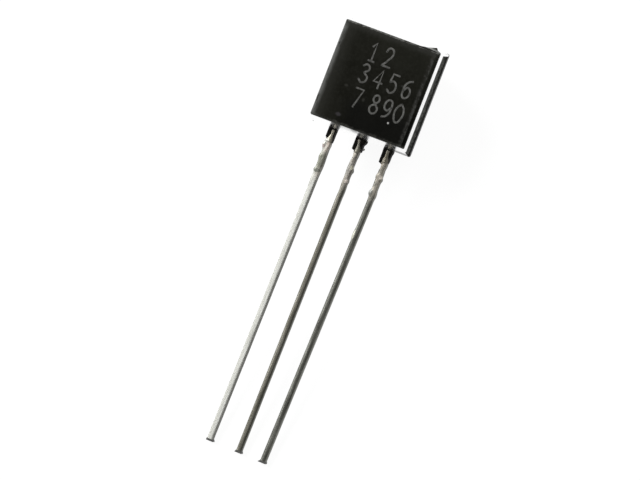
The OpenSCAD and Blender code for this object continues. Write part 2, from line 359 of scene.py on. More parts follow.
def polish(ground, walls):
    """Share of a mirror: walls at a glance, less at the parting line, and less near and between the left
    and middle leads as painted shade.
    """
    x, y, z = ground.x, ground.y, ground.z
    glance = node(ground.place.tree, "ShaderNodeLayerWeight", {}, {"Blend": 0.5})["Facing"]
    parting = z.step(0.52, 0.22) * y.step(*NEAR_BOTTOM_Y) * (x + ground.patches * 0.2).step(1.55, 1.75)
    # Painted shade: the bottom wall mirrors less near the roots of the left and middle leads.
    off_gap = abs(x - LEAD_GAP_X)
    beside_leads = off_gap.step(0.15, 0.35) * off_gap.step(0.66, 0.52)
    lead_root_shade = (off_gap.step(0.62, 0.45) + beside_leads) * y.step(0, -1) * z.step(0.45, 1.15)
    return walls * glance.step(0.45, 0.60) * (1 - parting * 0.70) * (1 - lead_root_shade * 0.35)


# %% Epoxy finish
def epoxy_finish():
    material, tree = new_finish("moulding_compound")
    ground = Ground(tree)
    x, z, mottle = ground.x, ground.z, ground.mottle
    ends, back_end = end_walls(ground)
    broken, torn = gate_break(ground)
    sides = abs(x).step(FACE_X - 0.03, FACE_X - 0.01) * z.step(FLARE_Z - 0.14, FLARE_Z - 0.06)
    below_edge = z.step(FRONT_DEPTH - 0.10, FRONT_DEPTH - 0.14)
    walls = ends.at_least(sides).at_least(back_end) * below_edge * (1 - broken)
    flare = abs(x).step(FACE_X - 0.02, FACE_X) * (1 - walls) * z.step(-0.05, 0.02)
    flare_sheen = mix(mottle.step(0.38, 0.62), (0.045, 0.047, 0.041), (0.125, 0.128, 0.118))
    torn_tone = mix(x.step(1.45, 1.95), (0.30, 0.305, 0.29), (0.13, 0.132, 0.125))
    tone = stained(edge_highlights_and_wear(compound_tone(ground), ground), ground)
    # Painted sheen: the dull flare is painted lighter towards the front, fading towards the parting line.
    tone = mix(flare * (z + mottle * 0.5).step(0.36, 0.72), tone, flare_sheen)
    tone = mix(broken * ends, tone, (0.008, 0.008, 0.006))
    tone = mix(broken * ends * torn, tone, torn_tone)
    body = node(tree, "ShaderNodeBsdfPrincipled", {}, {
        "Base Color": tone,
        "Roughness": 0.32 + ground.fine * 0.08 + ground.cloud * 0.06 + flare * 0.5 + broken * 0.4,
        "Specular IOR Level": 0.11,
        "Normal": bump(ground.fine, 0.006, 0.4),
    })
    mirror = node(tree, "ShaderNodeBsdfGlossy", {}, {"Color": (1, 1, 1, 1), "Roughness": 0.25})
    surface = node(tree, "ShaderNodeMixShader", {}, {0: polish(ground, walls), 1: body, 2: mirror})
    node(tree, "ShaderNodeOutputMaterial", {}, {"Surface": surface})
    return material


epoxy = epoxy_finish()
print("epoxy finish:", len(epoxy.node_tree.nodes), "nodes")

# %% [markdown]
# ## Moulding
# The two halves of the mould meet on the plane of the leads. The back is a half cylinder. The
# front is flat, its side walls run straight and then flare to the parting line, and the ends
# are drafted so that the part drops out. The outline seen along the leads is spun and joined
# first, then stretched upwards and cut at the parting line, and each level is drawn in by its
# draft. Bevels give the edges their radius last, because they follow the drafted walls.

# %% Drafted halves
# Where the bevels meet they leave slivers, and corners closer than this are merged.
SLIVER = 0.004
# At the upper left corner of the parting line they leave a row of tiny edges, in other places on
# each run. The row is drawn together into one point, so the mesh is always the same.
CROWD_X = -2.249
CROWD_FROM_Z = -0.040
CROWD_TO_Z = -0.001
CROWD_POINT = (-2.2495, 2.3323, -0.0162)


def half_height(z):
    """Half the moulding's height at a depth: both halves are drafted from the parting line."""
    if z >= 0:
        return BODY_H / 2 - z / FRONT_DEPTH * (BODY_H - FACE_H) / 2
    return BODY_H / 2 + z * math.tan(BACK_DRAFT)


def make_moulding():
    mould = bmesh.new()
    start = mould.verts.new((-BACK_R, 0, 0))
    bmesh.ops.spin(mould, geom=[start], axis=(0, 1, 0), angle=-math.pi, steps=90, use_merge=False)
    arc_end = max(mould.verts, key=lambda vert: vert.co.x)
    corners = [(FACE_W / 2, FLARE_Z), (FACE_W / 2, FRONT_DEPTH), (-FACE_W / 2, FRONT_DEPTH),
               (-FACE_W / 2, FLARE_Z)]
    previous = arc_end
    for x, z in corners:
        vert = mould.verts.new((x, 0, z))
        mould.edges.new((previous, vert))
        previous = vert
    mould.edges.new((previous, start))
    outline = bmesh.ops.contextual_create(mould, geom=mould.edges[:])["faces"]
    bmesh.ops.translate(mould, verts=mould.verts, vec=(0, -1, 0))
    pushed = bmesh.ops.extrude_face_region(mould, geom=outline, use_keep_orig=True)["geom"]
    raised = [part for part in pushed if isinstance(part, bmesh.types.BMVert)]
    bmesh.ops.translate(mould, verts=raised, vec=(0, 2, 0))
    bmesh.ops.bisect_plane(mould, geom=mould.verts[:] + mould.edges[:] + mould.faces[:],
                           plane_co=(0, 0, 0), plane_no=(0, 0, 1))
    for vert in mould.verts:
        vert.co.y *= half_height(vert.co.z)
    bmesh.ops.recalc_face_normals(mould, faces=mould.faces)
    for side, radius in ((-1, LEFT_EDGE_R), (1, RIGHT_EDGE_R)):
        corner = [edge for edge in mould.edges
                  if all(vert.co.z > FRONT_DEPTH - 0.01 and abs(vert.co.x - side * FACE_W / 2) < 0.01
                         for vert in edge.verts)]
        bmesh.ops.bevel(mould, geom=corner, offset=radius, segments=8, profile=0.5, affect="EDGES",
                        material=-1, clamp_overlap=True)
    rim = [edge for edge in mould.edges
           if len(edge.link_faces) == 2 and edge.calc_face_angle() > math.radians(50)]
    bmesh.ops.bevel(mould, geom=rim, offset=END_EDGE_R, segments=4, profile=0.5, affect="EDGES",
                    material=-1, clamp_overlap=False)
    bmesh.ops.remove_doubles(mould, verts=mould.verts, dist=SLIVER)
    crowded = [vert for vert in mould.verts
               if vert.co.x < CROWD_X and vert.co.y > 0 and CROWD_FROM_Z < vert.co.z < CROWD_TO_Z]
    bmesh.ops.pointmerge(mould, verts=crowded, merge_co=CROWD_POINT)
    for face in mould.faces:
        face.smooth = face.calc_area() < 1.5
    return mould


moulding = finish_piece("moulding", make_moulding(), epoxy)
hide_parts("epoxy_body")

# %% [markdown]
# ## Leads
# Each lead is one stamping: a bonding post or die pad inside the moulding, a stem with a hole
# that the epoxy locks into, a wider shoulder where the dam bar was sheared off, and a long
# leg that was dipped in solder. A flat sheet grown from the lock hole outwards, edge by edge,
# is the natural way to draw it; thickness, rounded edges and the solder's lumps follow.

# %% Sizes of the leads, in millimetres
LEAD_PITCH = 1.27
LEAD_T = 0.36
LEAD_LEN = 14.349
CUT_SLANT = math.tan(math.radians(0.5))
LEAN_FROM = 2.50
SHOULDER_STRAIGHT = 0.09
SHOULDER_TAPER = 0.22
SHOULDER_SLANT = 0.10
SHOULDER_TOP = 0.25
SHOULDER_EDGE_R = 0.012
STEM_W = 0.50
LOCK_HOLE_Y = 0.75
LOCK_HOLE_R = 0.11
TIP_H = 0.12
SOLDER_END = -2.6
BURR_X = 0.302
BURR_Y = -0.385
BURR_R = 0.042
TONGUE_H = 0.03

# Drawing: pitch mark, step of the leg beside it, lean in degrees, width of the leg, and for each
# side of the shoulder its half width at the moulding, half width lower down and length. Then
# where the post starts and stops, how far post and burred tip reach to each side, and the beads
# of solder: level, side, height and half length.
# Finish: top, foot and half width of the tongue, two tones each for climb, tin and leg, metal
# share, patches and lights (painted highlights) with centre, half size and colour, then the
# strength and start of the dark line of painted shade, and the strength of the painted highlight
# on the left side.
LEADS = {
    "emitter_lead": {
        "x": -LEAD_PITCH, "step": -0.020, "lean": -0.60, "width": 0.28, "seed": 3.0,
        "left": (0.210, 0.210, 0.42), "right": (0.148, 0.140, 0.58),
        "post_from": 2.89, "post_to": 3.49, "post": (0.25, 0.84), "tip": (0.14, 0.18),
        "beads": ((-0.76, -1, 0.060, 0.26), (-1.30, -1, 0.035, 0.20), (-1.88, -1, 0.050, 0.14),
                  (-0.78, 1, 0.020, 0.20), (-1.62, 1, 0.035, 0.62), (-2.4, -1, 0.02, 0.3)),
        # The emitter lead's paler climb, tin and leg tones stand in for its reflection: painted
        # reflection.
        "tongue": (0.038, 0.005, 0.055), "climb": ((0.38, 0.36, 0.29), (0.63, 0.60, 0.50)),
        "tin": ((0.50, 0.46, 0.40), (0.84, 0.79, 0.71)),
        "leg": ((0.76, 0.765, 0.71), (0.97, 0.975, 0.92)), "metal": 0.35,
        "patches": (
            ((-0.15, -0.84, 0.0), (0.08, 0.10, 0.3), (0.48, 0.40, 0.37)),
            ((-0.02, -1.47, 0.0), (0.34, 0.46, 0.3), (0.26, 0.265, 0.215)),
            ((-0.08, -1.90, 0.0), (0.30, 0.12, 0.3), (0.26, 0.27, 0.23)),
        ),
        "lights": (
            ((0.02, -0.80, 0.0), (0.12, 0.24, 0.3), (0.74, 0.65, 0.57)),
            ((-0.01, -0.84, 0.0), (0.06, 0.16, 0.6), (0.92, 0.88, 0.80)),
        ),
        "line": 0.74, "line_from": 0.055, "left_tone": 0.9,
    },
    "base_lead": {
        "x": 0.0, "step": 0.020, "lean": -0.30, "width": 0.262, "seed": 11.0,
        "left": (0.215, 0.215, 0.51), "right": (0.275, 0.198, 0.52),
        "post_from": 1.54, "post_to": 2.14, "post": (0.40, 0.40), "tip": (0.16, 0.15),
        "beads": ((-0.78, -1, -0.040, 0.26), (-1.42, 1, 0.040, 0.15), (-1.9, 1, 0.022, 0.12),
                  (-1.5, -1, 0.012, 0.3), (-2.35, 1, 0.012, 0.35), (-2.35, -1, -0.012, 0.35)),
        "tongue": (-0.02, 0.070, 0.055), "climb": ((0.24, 0.23, 0.185), (0.44, 0.425, 0.365)),
        "tin": ((0.33, 0.31, 0.27), (0.48, 0.455, 0.41)),
        "leg": ((0.16, 0.155, 0.125), (0.29, 0.28, 0.24)), "metal": 1.0,
        "patches": (
            ((-0.06, -1.35, 0.0), (0.10, 0.40, 0.3), (0.36, 0.35, 0.32)),
            ((0.02, -0.56, 0.0), (0.12, 0.10, 0.3), (0.26, 0.25, 0.21)),
        ),
        "lights": (
            ((0.09, -1.29, 0.0), (0.09, 0.11, 0.3), (0.74, 0.72, 0.58)),
            ((0.08, -1.90, 0.0), (0.09, 0.10, 0.3), (0.74, 0.67, 0.61)),
            ((-0.04, -0.72, 0.0), (0.11, 0.12, 0.6), (0.72, 0.68, 0.59)),
        ),
        "line": 0.75, "line_from": 0.03, "left_tone": 0.0,
    },
    "collector_lead": {
        "x": LEAD_PITCH, "step": 0.065, "lean": -1.15, "width": 0.27, "seed": 23.0,
        "left": (0.198, 0.188, 0.64), "right": (0.242, 0.210, 0.54),
        "post_from": 2.39, "post_to": 3.49, "post": (1.45, 0.25), "tip": (0.20, 0.15),
        "beads": ((-0.80, -1, -0.038, 0.20), (-1.22, -1, 0.040, 0.16), (-1.98, -1, 0.068, 0.20),
                  (-1.34, 1, 0.035, 0.14), (-2.05, 1, 0.030, 0.26), (-3.88, -1, 0.040, 0.30)),
        "tongue": (0.045, 0.070, 0.065), "climb": ((0.22, 0.20, 0.15), (0.37, 0.345, 0.285)),
        "tin": ((0.33, 0.31, 0.26), (0.48, 0.45, 0.39)),
        "leg": ((0.115, 0.115, 0.100), (0.235, 0.238, 0.210)), "metal": 1.0,
        "patches": (
            ((0.01, -0.66, 0.0), (0.09, 0.12, 0.3), (0.62, 0.57, 0.49)),
            ((-0.04, -1.00, 0.0), (0.14, 0.13, 0.3), (0.25, 0.24, 0.205)),
            ((-0.05, -1.56, 0.0), (0.16, 0.18, 0.3), (0.23, 0.225, 0.195)),
            ((-0.08, -1.96, 0.0), (0.14, 0.20, 0.3), (0.30, 0.31, 0.29)),
        ),
        "lights": (
            ((0.15, -1.25, 0.0), (0.09, 0.12, 0.3), (0.80, 0.74, 0.65)),
            ((-0.14, -3.92, 0.0), (0.16, 0.34, 0.9), (0.58, 0.58, 0.50)),
        ),
        "line": 0.28, "line_from": 0.03, "left_tone": 0.0,
    },
}
print("three leads,", LEAD_LEN, "mm long")


# %% Growing a sheet by a row
def pull_row(sheet, row, y, left, right):
    """Extrudes a row of edges to a new level and spreads it between left and right."""
    low = min(vert.co.x for edge in row for vert in edge.verts)
    high = max(vert.co.x for edge in row for vert in edge.verts)
    grown = bmesh.ops.extrude_edge_only(sheet, edges=row)["geom"]
    for vert in (part for part in grown if isinstance(part, bmesh.types.BMVert)):
        along = (vert.co.x - low) / (high - low)
        vert.co.x = -left + along * (left + right)
        vert.co.y = y
    return [part for part in grown if isinstance(part, bmesh.types.BMEdge)
            and abs(part.verts[0].co.y - part.verts[1].co.y) < 1e-6]


# %% Outline of a lead
def leg_centre(lead, y):
    """Sideways place of the leg's middle at a level below the moulding."""
    return lead["step"] + max(0.0, -y - LEAN_FROM) * math.tan(math.radians(lead["lean"]))


def leg_length(lead):
    """Length outside the moulding: the tips were cut on a slight slant."""
    return LEAD_LEN + lead["x"] * CUT_SLANT


def side_reach(lead, y, side):
    """How far the outline reaches to one side of the pitch mark: side is -1 or 1."""
    wide, narrow, length = lead["left"] if side < 0 else lead["right"]
    leg = lead["width"] / 2 + side * leg_centre(lead, y)
    if y > -SHOULDER_TAPER:
        tapered = max(0.0, (-y - SHOULDER_STRAIGHT) / (SHOULDER_TAPER - SHOULDER_STRAIGHT))
        return wide + (narrow - wide) * tapered
    if y > -length + 1e-6:
        return narrow
    below = (-length - y) / SHOULDER_SLANT
    return max(leg, narrow + (side * lead["step"] - narrow) * below)


def leg_rows(lead):
    """Levels below the moulding as (y, left, right): shoulder, lumpy solder, leg and burr."""
    tip = -leg_length(lead)
    corners = [0.0, -SHOULDER_TAPER]
    for _, _, length in (lead["left"], lead["right"]):
        corners += [-length + 0.004, -length - 0.03, -length - 0.06]
    levels = [y for y in (-0.05 * step for step in range(16)) if all(abs(y - c) > 0.012 for c in corners)]
    levels = sorted(levels + corners, reverse=True)
    while levels[-1] > SOLDER_END:
        levels.append(levels[-1] - 0.05)
    while levels[-1] > tip + TIP_H + 0.30:
        levels.append(levels[-1] - 0.22)
    rows = [(y, side_reach(lead, y, -1), side_reach(lead, y, 1)) for y in levels]
    for up, share in ((TIP_H, 0.0), (TIP_H * 0.6, 0.15), (TIP_H * 0.35, 0.5), (0.028, 1.0), (0.0, 0.9)):
        centre = leg_centre(lead, tip + up)
        half = lead["width"] / 2
        reach = [half + (side - half) * share for side in lead["tip"]]
        rows.append((tip + up, reach[0] - centre, reach[1] + centre))
    return rows


# %% Drawing a stamping
def lead_sheet(lead):
    """The stamping as one flat sheet, grown from the lock hole up to the post and down the leg."""
    sheet = bmesh.new()
    bmesh.ops.create_circle(sheet, segments=32, radius=LOCK_HOLE_R, cap_ends=False)
    grown = bmesh.ops.extrude_edge_only(sheet, edges=sheet.edges[:])["geom"]
    half = STEM_W / 2
    for vert in (part for part in grown if isinstance(part, bmesh.types.BMVert)):
        vert.co *= half / max(abs(vert.co.x), abs(vert.co.y))
    bmesh.ops.translate(sheet, verts=sheet.verts, vec=(0, LOCK_HOLE_Y, 0))

    def outer_row(y):
        return [edge for edge in sheet.edges if all(abs(vert.co.y - y) < 1e-5 for vert in edge.verts)
                and len(edge.link_faces) == 1]

    row = outer_row(LOCK_HOLE_Y + half)
    row = pull_row(sheet, row, lead["post_from"] - 0.001, half, half)
    row = pull_row(sheet, row, lead["post_from"], *lead["post"])
    pull_row(sheet, row, lead["post_to"], *lead["post"])
    row = outer_row(LOCK_HOLE_Y - half)
    row = pull_row(sheet, row, SHOULDER_TOP + 0.001, half, half)
    row = pull_row(sheet, row, SHOULDER_TOP, lead["left"][0], lead["right"][0])
    for y, left, right in leg_rows(lead):
        row = pull_row(sheet, row, y, left, right)
    return sheet


def thicken(sheet):
    """Gives the sheet its thickness, fine walls that solder can shape, and rounded shoulders."""
    pushed = bmesh.ops.extrude_face_region(sheet, geom=sheet.faces[:], use_keep_orig=True)["geom"]
    bmesh.ops.translate(sheet, verts=[part for part in pushed if isinstance(part, bmesh.types.BMVert)],
                        vec=(0, 0, -LEAD_T))
    bmesh.ops.recalc_face_normals(sheet, faces=sheet.faces)
    walls = [edge for edge in sheet.edges if abs(edge.verts[0].co.z - edge.verts[1].co.z) > 0.1
             and min(vert.co.y for vert in edge.verts) < SHOULDER_TOP - 0.05]
    bmesh.ops.subdivide_edges(sheet, edges=walls, cuts=7, use_grid_fill=True)
    sharp = [edge for edge in sheet.edges if len(edge.link_faces) == 2
             and edge.calc_face_angle() > math.radians(60)
             and max(vert.co.y for vert in edge.verts) > -0.6]
    bmesh.ops.bevel(sheet, geom=sharp, offset=SHOULDER_EDGE_R, segments=2, profile=0.5, affect="EDGES",
                    material=-1, clamp_overlap=True)


def add_burr(sheet):
    """A grain of metal that the shears left beside the shoulder, on a small neck."""
    place = Matrix.Translation((BURR_X, BURR_Y, -BURR_R)) @ Matrix.Diagonal((0.75, 1.4, 1.0, 1.0))
    bmesh.ops.create_uvsphere(sheet, u_segments=16, v_segments=10, radius=BURR_R, matrix=place)
    neck_centre = (BURR_X - BURR_R * 1.6, BURR_Y + BURR_R * 0.7, -BURR_R * 1.7)
    place = Matrix.Translation(neck_centre) @ Matrix.Diagonal((5.0, 1.0, 1.0, 1.0))
    bmesh.ops.create_uvsphere(sheet, u_segments=12, v_segments=8, radius=BURR_R * 0.24, matrix=place)


# %% Solder on the leg
def round_leg(sheet, lead):
    """Turns the leg's sharp section into the pillow shape that solder gives it."""
    for vert in sheet.verts:
        y = vert.co.y
        if y > -0.5 or y < TIP_H * 0.9 - leg_length(lead):
            continue
        power = 3.0 + 9.0 * max(0.0, 1 - (-0.5 - y) / 0.35)
        x = (vert.co.x - leg_centre(lead, y)) / (lead["width"] / 2)
        z = (vert.co.z + LEAD_T / 2) / (LEAD_T / 2)
        size = max(abs(x), abs(z), 1e-6)
        length = ((abs(x) ** power + abs(z) ** power) ** (1 / power)) / size
        vert.co.x = leg_centre(lead, y) + (vert.co.x - leg_centre(lead, y)) / length
        vert.co.z = -LEAD_T / 2 + (vert.co.z + LEAD_T / 2) / length


def add_solder(sheet, lead):
    """Pushes the dipped part out into the lumps of solder that ran down and froze."""
    sheet.normal_update()
    normals = {vert: vert.normal.copy() for vert in sheet.verts}
    for vert, normal in normals.items():
        y = vert.co.y
        if y > -0.02 or y < TIP_H - leg_length(lead):
            continue
        lumpy = max(0.0, min(1.0, (-0.45 - y) / 0.2)) * max(0.1, min(1.0, (y - SOLDER_END) / 1.6))
        where = Vector((vert.co.x * 3.0, y * 1.9, vert.co.z * 3.0 + lead["seed"]))
        lumps = noise.noise(where) + 0.6 * noise.noise(where * 2.3)
        vert.co += normal * 0.018 * lumpy * lumps
        for bead_y, side, height, half_length in lead["beads"]:
            near = max(0.0, 1 - ((y - bead_y) / half_length) ** 2) ** 2
            vert.co += normal * height * near * max(0.0, side * normal.x)
        if normal.z > 0.5 and y > -0.6:
            middle, half = tongue_at(lead, y)
            ridge = max(0.0, 1 - ((vert.co.x - middle) / half) ** 2)
            vert.co.z += TONGUE_H * ridge * min(1.0, -y / 0.1)


def tongue_at(lead, y):
    """Middle and half width of the solder tongue that climbs the shoulder."""
    top, low, half = lead["tongue"]
    down = max(0.0, min(1.0, (-0.10 - y) / 0.45))
    return top + (low - top) * down, half + 0.065 * down * down


# %% A whole lead
def make_lead(name):
    lead = LEADS[name]
    sheet = lead_sheet(lead)
    thicken(sheet)
    round_leg(sheet, lead)
    add_solder(sheet, lead)
    if name == "base_lead":
        add_burr(sheet)
    bmesh.ops.translate(sheet, verts=sheet.verts, vec=(lead["x"], BOTTOM_Y, 0))
    for face in sheet.faces:
        face.smooth = True
    return sheet


# %% [markdown]
# ## Tin, bare shoulders and painted light
# Dipping leaves bright lumpy tin near the moulding and a thin dull coat further down. The
# shoulder stays bare and near black, apart from the tongue of solder that climbed it, and the
# cut end is dark too. Each leg also carries painted light: a painted highlight down its left side
# and in spots, and painted shade down its right. The three leads could be painted one by one.
# Instead the tones follow the level below the moulding, so that a few numbers for each lead
# are enough.

# %% The ground of a lead
class LeadGround:
    """Where a point is, counted from the lead's root, and the noises of its solder."""

    def __init__(self, tree, lead):
        self.place = package_place(tree, (lead["x"], BOTTOM_Y, 0))
        axes = node(tree, "ShaderNodeSeparateXYZ", {}, {"Vector": self.place})
        self.across, self.y, self.z = axes["X"], axes["Y"], axes["Z"]
        lean = math.tan(math.radians(lead["lean"]))
        self.x = self.across - (self.y * -1 - LEAN_FROM).at_least(0) * lean - lead["step"]
        self.spots = grain(self.place, 4.5, 3, 0.55)
        self.fine = grain(self.place, 16, 3, 0.6)
        self.streaks = grain(stretched(self.place, (9.0, 0.8, 9.0), lead["seed"]), 1.0, 3, 0.6)
        self.runs = grain(stretched(self.place, (7.0, 1.6, 7.0), lead["seed"]), 1.0, 2, 0.5)
        self.lower = (self.y + self.spots * 0.6).step(SOLDER_END + 1.05, SOLDER_END + 0.4)


def patched(tone, ground, patches):
    """The same tone with soft-edged patches of other tones."""
    for centre, half_size, colour in patches:
        near = (spot(ground.place, centre, half_size) + ground.spots * 0.6).step(1.4, 0.8)
        tone = mix(near * 0.9, tone, colour)
    return tone


def leg_tone(ground, lead):
    """Lumpy tin above and streaked tin below, with a painted highlight down the left, painted shade in a
    dark line down the right of the leg and on its right wall, and painted highlight spots.
    """
    x, fine = ground.x, ground.fine
    tin = mix(ground.runs.step(0.35, 0.65), *lead["tin"])
    leg = mix(ground.streaks.step(0.35, 0.65), *lead["leg"])
    # Painted highlight down the left side of the leg.
    lit_left_side = (x * -1 + fine * 0.02).step(-0.02, 0.08)
    left_tone = mix(ground.streaks, (0.49, 0.49, 0.45), (0.62, 0.62, 0.575))
    # Painted shade: a dark line down the right of the leg, and a grey right wall.
    line = (x + fine * 0.02).step(lead["line_from"], lead["line_from"] + 0.07)
    right_wall_shade = ground.z.step(-0.05, -0.10) * x.step(0.08, 0.12)
    tone = mix(lit_left_side * lead["left_tone"], mix(ground.lower, tin, leg), left_tone)
    tone = patched(tone, ground, lead["patches"])
    tone = mix(line * (ground.lower * 0.55 + 0.45) * lead["line"], tone, (0.085, 0.085, 0.070))
    tone = mix(right_wall_shade, tone, (0.17, 0.17, 0.155))
    # The lights are painted highlight spots.
    return patched(tone, ground, lead["lights"])


# %% The shoulder and its tongue
def solder_tongue(ground, lead):
    """The solder that climbed the middle of the shoulder, wider towards its foot."""
    top, foot, half_width = lead["tongue"]
    down = ground.y.step(-0.10, -0.55)
    middle = down * (foot - top) + top
    off_middle = abs(ground.across - middle + (ground.spots - 0.5) * 0.08)
    inside = (off_middle - down * down * 0.072 - half_width).step(0.012, -0.012)
    return inside * ground.y.step(-0.02, -0.08) * ground.z.step(-0.1, -0.02)


def shoulder(ground, lead):
    """1 above the cut ends of the shoulder, which stop at two levels."""
    left, right = lead["left"][2], lead["right"][2]
    length = ground.across.step(-0.04, 0.06) * (right - left) + left
    return (ground.y + length).step(-0.07, -0.02)


# %% Solder finish
def lead_finish(name):
    lead = LEADS[name]
    material, tree = new_finish(name)
    ground = LeadGround(tree, lead)
    y, spots, fine = ground.y, ground.spots, ground.fine
    foot = (y + leg_length(lead) + fine * 0.03).step(TIP_H + 0.01, TIP_H - 0.03)
    tongue = solder_tongue(ground, lead)
    on_shoulder = shoulder(ground, lead)
    burr = ground.across.step(BURR_X - 0.077, BURR_X - 0.062) * y.step(BURR_Y + 0.095, BURR_Y + 0.075)
    bare = on_shoulder * (1 - tongue) * (1 - burr)
    climb = mix(ground.runs.step(0.35, 0.65), *lead["climb"])
    climb = mix(y.step(-0.20, -0.10) * 0.75, climb, (0.70, 0.66, 0.56))
    # Near-black, mottled tone of the bare shoulder.
    scale = mix(spots.step(0.48, 0.66), (0.005, 0.004, 0.0025), (0.030, 0.028, 0.021))
    tone = mix(foot, leg_tone(ground, lead), (0.10, 0.10, 0.095))
    tone = mix(on_shoulder * tongue, tone, climb)
    tone = mix(bare, tone, scale)
    surface = node(tree, "ShaderNodeBsdfPrincipled", {}, {
        "Base Color": tone,
        "Metallic": (ground.lower * (lead["metal"] - 0.75) + 0.75) * (1 - foot) * (1 - bare),
        "Roughness": 0.42 + spots * 0.2 + bare * 0.25,
        "Specular IOR Level": 0.2,
        "Normal": bump(fine, 0.006, 0.5),
    })
    node(tree, "ShaderNodeOutputMaterial", {}, {"Surface": surface})
    return material


for name in LEADS:
    leg = finish_piece(name + "_tinned", make_lead(name), lead_finish(name))
    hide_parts(name)

# %% [markdown]
# ## Broken gate
# The compound ran into the mould through a gate at the top of the parting line. Its stub broke
# off as a small wedge with a rough end. It could be carved out of the moulding's own mesh, but
# a wedge of its own can be cut up and shaken without touching the smooth walls.

# %% Gate stub
GATE_FROM = 1.22
GATE_PEAK = 1.77
GATE_TO = 1.90
GATE_H = 0.02
GATE_SKEW = 0.11
GATE_ROOT = 0.15
GATE_T = 0.50
JAG_SHIFTS = (Vector((3.1, 0.7, 5.9)), Vector((8.3, 2.9, 1.7)), Vector((4.7, 6.1, 9.3)))


def jagged(place, size):
    """A push that depends on the place alone, so the break is the same each run."""
    return Vector([noise.noise(place * size + shift) for shift in JAG_SHIFTS])


def make_gate():
    stub = bmesh.new()
    outline = [(GATE_FROM, TOP_Y - GATE_ROOT), (GATE_TO, TOP_Y - GATE_ROOT), (GATE_PEAK, TOP_Y + GATE_H)]
    corners = [stub.verts.new((x, y, 0.01)) for x, y in outline]
    wedge = stub.faces.new(corners)
    pushed = bmesh.ops.extrude_face_region(stub, geom=[wedge], use_keep_orig=True)["geom"]
    bmesh.ops.translate(stub, verts=[part for part in pushed if isinstance(part, bmesh.types.BMVert)],
                        vec=(0, 0, GATE_T - 0.01))
    bmesh.ops.recalc_face_normals(stub, faces=stub.faces)
    bmesh.ops.triangulate(stub, faces=stub.faces[:])
    bmesh.ops.subdivide_edges(stub, edges=stub.edges[:], cuts=5, use_grid_fill=True)
    for vert in stub.verts:
        jag = jagged(vert.co, 11) * 0.012 + jagged(vert.co, 29) * 0.006
        if vert.co.y > TOP_Y - GATE_ROOT + GATE_H:
            vert.co += jag
            vert.co.y = min(vert.co.y, TOP_Y + GATE_H)
        vert.co.x -= GATE_SKEW * (1 - vert.co.z / GATE_T)
    return stub


# %% Broken compound
def broken_finish():
    material, tree = new_finish("broken_compound")
    place = package_place(tree)
    axes = node(tree, "ShaderNodeSeparateXYZ", {}, {"Vector": place})
    crumbs = grain(place, 14, 3, 0.6)
    patches = grain(place, 5, 3, 0.6)
    tone = mix(crumbs.step(0.45, 0.65), (0.020, 0.020, 0.017), (0.070, 0.071, 0.064))
    # Painted highlight along the stub's front top edge.
    lip_highlight = (axes["Z"] + patches * 0.3).step(GATE_T - 0.02, GATE_T + 0.10) * axes["X"].step(1.75, 1.50)
    tone = mix(lip_highlight, tone, (0.19, 0.195, 0.18))
    surface = node(tree, "ShaderNodeBsdfPrincipled", {}, {
        "Base Color": tone,
        "Roughness": 0.75 + crumbs * 0.2,
        "Specular IOR Level": 0.15,
        "Normal": bump(crumbs, 0.02, 0.6),
    })
    node(tree, "ShaderNodeOutputMaterial", {}, {"Surface": surface})
    return material


gate = finish_piece("gate_stub", make_gate(), broken_finish())
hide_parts("epoxy_body")

# %% [markdown]
# ## Laser marking
# A laser roughens the compound into thin pale strokes. Here they count from one to nine and
# nought in place of a type number. A text object would do, but its letters swell and taper.
# Each stroke is instead a smooth curve with a round pen, turned into a mesh and pressed flat
# against the face, and a small ball closes each end of the pen's path.

# %% Strokes of plain numbers, on a grid one wide and one high
STROKES = {
    "1": [("VECTOR", [(0.25, 0.78), (0.58, 1.0), (0.58, 0.0)]), ("VECTOR", [(0.28, 0.0), (0.88, 0.0)])],
    "2": [("AUTO", [(0.06, 0.76), (0.25, 0.97), (0.65, 0.97), (0.88, 0.74), (0.58, 0.38), (0.05, 0.0)]),
          ("VECTOR", [(0.05, 0.0), (0.95, 0.0)])],
    "3": [("AUTO", [(0.08, 0.88), (0.45, 1.0), (0.85, 0.80), (0.40, 0.54)]),
          ("AUTO", [(0.40, 0.54), (0.94, 0.28), (0.48, 0.0), (0.05, 0.13)])],
    "4": [("VECTOR", [(0.72, 0.0), (0.72, 1.0), (0.02, 0.30), (0.98, 0.30)])],
    "5": [("VECTOR", [(0.88, 1.0), (0.20, 1.0), (0.12, 0.56)]),
          ("AUTO", [(0.12, 0.56), (0.55, 0.63), (0.92, 0.32), (0.50, 0.0), (0.05, 0.12)])],
    "6": [("AUTO", [(0.80, 0.96), (0.35, 0.85), (0.08, 0.40), (0.40, 0.0), (0.90, 0.28), (0.55, 0.58),
                    (0.12, 0.38)])],
    "7": [("VECTOR", [(0.05, 1.0), (0.95, 1.0), (0.38, 0.0)])],
    "8": [("AUTO", [(0.50, 0.54), (0.15, 0.78), (0.50, 1.0), (0.85, 0.78), (0.50, 0.54), (0.06, 0.26),
                    (0.50, 0.0), (0.94, 0.26), (0.50, 0.54)])],
    "9": [("AUTO", [(0.20, 0.04), (0.65, 0.15), (0.92, 0.60), (0.60, 1.0), (0.10, 0.72), (0.45, 0.42),
                    (0.88, 0.62)])],
    "0": [("AUTO", [(0.50, 1.0), (0.10, 0.75), (0.10, 0.25), (0.50, 0.0), (0.90, 0.25), (0.90, 0.75),
                    (0.50, 1.0)])],
}
MARK_W = 0.38
MARK_H = 0.80
PEN_R = 0.043
MARK_HIGH = 0.002
MARK_DEEP = 0.02
MARK_LINES = [
    (1.216, ((-0.54, "1"), (0.156, "2"))),
    (0.240, ((-0.57, "3"), (0.083, "4"), (0.738, "5"), (1.390, "6"))),
    (-0.835, ((-0.496, "7"), (0.319, "8"), (0.885, "9"), (1.420, "0"))),
]


